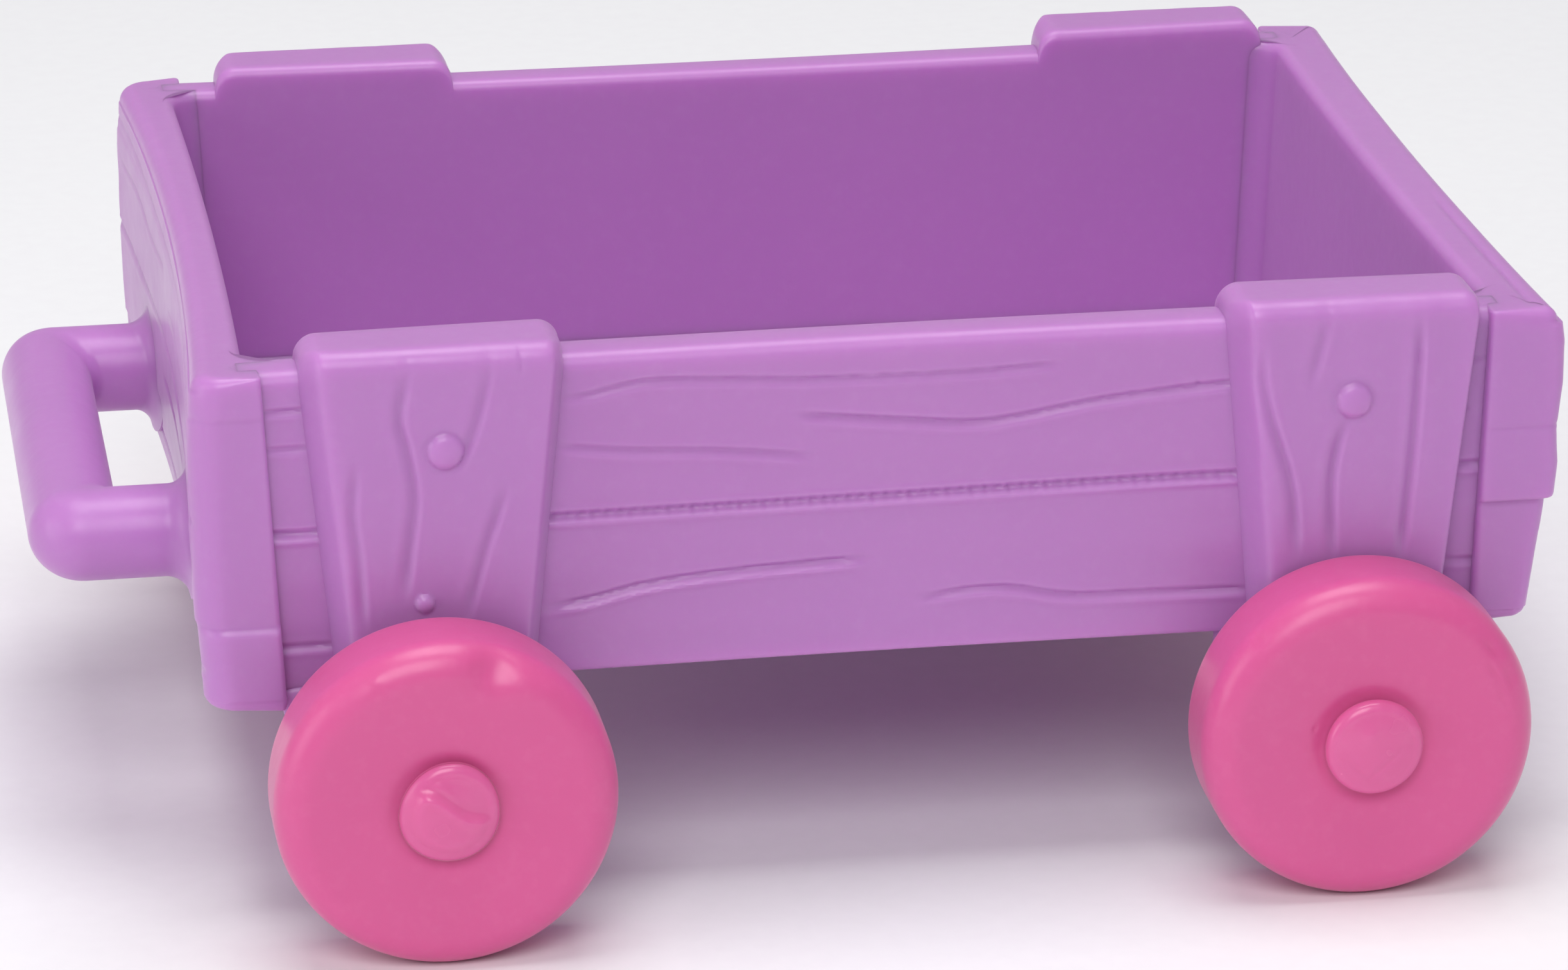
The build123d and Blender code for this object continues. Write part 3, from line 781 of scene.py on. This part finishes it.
def wheel_section(width, radius):
    """Half section from the hole's outer lip over the face, shoulder, tread and back to the
    hole again, as radius and distance out from the back face."""
    turn = np.linspace(0, np.pi / 2, 16)
    lip = np.array([[bore_r, width - dish - 0.10], [bore_r + 0.08, width - dish - 0.03]])
    face_r = steps((bore_r + 0.25, 3.0, 0.09), (3.0, radius - shoulder, 0.16))
    hollow = 1 - smooth((face_r - 1.4) / 5.0)
    seat = 0.10 * np.exp(-(((face_r - 2.3) / 0.4) ** 2))       # shallow groove round the button
    face = np.stack([face_r, width - 0.04 - (dish - 0.04) * hollow - seat], -1)
    edge_r = radius - shoulder + shoulder * np.sin(turn[1:])
    edge_y = width - 0.04 - (shoulder - 0.02) * (1 - np.cos(turn[1:]))
    edge = np.stack([edge_r, edge_y], -1)
    tread_y = np.linspace(width - shoulder - 0.02, back_round, 10)[1:]
    tread = np.stack([np.full(9, radius) - 0.03 * np.abs(tread_y - width / 2) / width, tread_y], -1)
    back_r = radius - 0.015 - back_round + back_round * np.cos(turn[1::2])
    back = np.stack([back_r, back_round - back_round * np.sin(turn[1::2])], -1)
    plain = np.stack([np.linspace(radius - back_round - 0.3, bore_r + 0.1, 8), np.zeros(8)], -1)
    hole = np.stack([np.full(6, bore_r), np.linspace(0.08, width - dish - 0.2, 6)], -1)
    return np.vstack([lip, face, edge, tread, back, plain, hole])


def wheel_grid(node, side, marks):
    """The section turned about the axle. marks are bumps on the face and shoulder, each a bell in
    angle and radius: (degrees from the top towards +x, radius, length round, width, height)."""
    low, high = (corner * 1000 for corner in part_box(node))
    xc, radius = (low.x + high.x) / 2, (high.z - low.z) / 2
    width = high.y - low.y
    section = wheel_section(width, radius)
    around = np.linspace(0, 2 * np.pi, 288, endpoint=False)
    r = section[:, :1] + 0 * around
    out = section[:, 1:] + 0 * around
    proud = smooth((out - width + shoulder + 0.9) / 0.9)
    wave = 0.02 * np.sin(2 * around + 0.5) + 0.012 * np.sin(5 * around + 2)
    out = out - proud * (0.02 + wave * 0.6 * (r / radius) ** 2)
    clock = np.degrees(np.arctan2(np.cos(around), np.sin(around)))
    for at, mark_r, length, across, height in marks:
        apart = (clock - at + 180) % 360 - 180
        round_way = apart * math.pi / 180 * mark_r
        bell = np.exp(-((round_way / length) ** 2) - (((r - mark_r) / across) ** 2))
        out = out + proud * height * bell
        r = r + proud * height * 0.2 * bell
    r = np.minimum(r, radius)
    out = np.minimum(out, width)
    y = (low.y if side > 0 else high.y) + side * out
    return np.stack([xc + r * np.cos(around), y, (low.z + high.z) / 2 + r * np.sin(around)], -1)


# a knock on the front near wheel's shoulder, and rubbed wrinkles on the rear near one
knocks = [(17, 6.7, 1.05, 0.9, -0.42), (9, 6.9, 0.6, 0.4, 0.05), (40, 7.0, 0.6, 0.4, 0.04),
          (-26, 6.9, 0.2, 0.2, 0.05)]
wrinkles = [(52, 6.7, 0.5, 0.16, -0.10), (60, 6.2, 0.6, 0.14, -0.08), (66, 6.7, 0.6, 0.2, -0.08),
            (72, 6.1, 0.5, 0.12, -0.06), (-45, 7.3, 0.3, 0.2, -0.10), (-72, 2.75, 0.18, 0.1, -0.05)]
for name, side, marks in (
        ("front_near", -1, knocks), ("front_far", 1, [(120, 7.0, 0.5, 0.4, -0.1)]),
        ("rear_near", -1, wrinkles), ("rear_far", 1, [(-30, 6.9, 0.7, 0.3, -0.08)])):
    grid = wheel_grid("wheel_" + name, side, marks)
    wheel = closed_skin(name + "_disc_wheel", grid, pink, name + "_wheel", wrap=True)
    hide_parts("wheel_" + name)

# ---------------------------------------------------------------------------
# Studio: a pale floor of matt card, a large soft light in front, another
# overhead, and a small weak one on the left that fills the shadows.
# ---------------------------------------------------------------------------
card_grain_mm = 1.11
card = bpy.data.materials.new("matt_white_card")
card.use_nodes = True
card_tree = card.node_tree
card_tree.nodes.clear()
card_place = add(card_tree, "TexCoord").outputs["Object"]
card_grain = add(card_tree, "TexNoise", {
    "Vector": card_place, "Scale": 1000 / card_grain_mm, "Detail": 3.0})
card_shade = add(card_tree, "Mix", {
    0: card_grain.outputs["Fac"], 6: linear("#f3f2f4"), 7: linear("#f7f7f8")}, data_type="RGBA")
card_surface = add(card_tree, "BsdfPrincipled", {"Base Color": card_shade.outputs[2], "Roughness": 0.9})
add(card_tree, "OutputMaterial", {"Surface": card_surface.outputs[0]})
half_floor = 3.0
corners = [(-half_floor, -half_floor, 0), (half_floor, -half_floor, 0), (half_floor, half_floor, 0),
           (-half_floor, half_floor, 0)]
floor_mesh = bpy.data.meshes.new("studio_floor")
floor_mesh.from_pydata(corners, [], [(0, 1, 2, 3)])
floor_mesh.materials.append(card)
studio_floor = bpy.data.objects.new("studio_floor", floor_mesh)
bpy.context.collection.objects.link(studio_floor)

world = bpy.data.worlds.new("soft_white_room")
world.use_nodes = True
world.node_tree.nodes["Background"].inputs["Color"].default_value = linear("#f4f4f8")
world.node_tree.nodes["Background"].inputs["Strength"].default_value = 0.35
bpy.context.scene.world = world
bpy.context.scene.view_settings.view_transform = "Standard"

lights = [
    ("front_softbox", (-0.10, -0.42, 0.40), 0.30, 1.3),
    ("overhead_softbox", (0.0, 0.02, 0.50), 0.30, 1.3),
    ("left_fill", (-0.45, -0.12, 0.14), 0.25, 0.36),
]
aim = Vector((0, 0, 0.013))
for name, place, size, power in lights:
    data = bpy.data.lights.new(name, "AREA")
    data.shape = "SQUARE"
    data.size = size
    data.energy = power
    lamp = bpy.data.objects.new(name, data)
    lamp.location = place
    lamp.rotation_euler = (aim - Vector(place)).to_track_quat("-Z", "Y").to_euler()
    bpy.context.collection.objects.link(lamp)

camera_data = bpy.data.cameras.new("camera")
camera_data.sensor_width = 36
camera_data.lens = 151.4
camera_data.clip_start = 0.01
camera = bpy.data.objects.new("camera", camera_data)
camera.location = (-0.0453, -0.2880, 0.1194)
camera_aim = Vector((-0.000335, -0.0164, 0.0171))
camera.rotation_euler = (camera_aim - camera.location).to_track_quat("-Z", "Y").to_euler()
bpy.context.collection.objects.link(camera)
bpy.context.scene.camera = camera
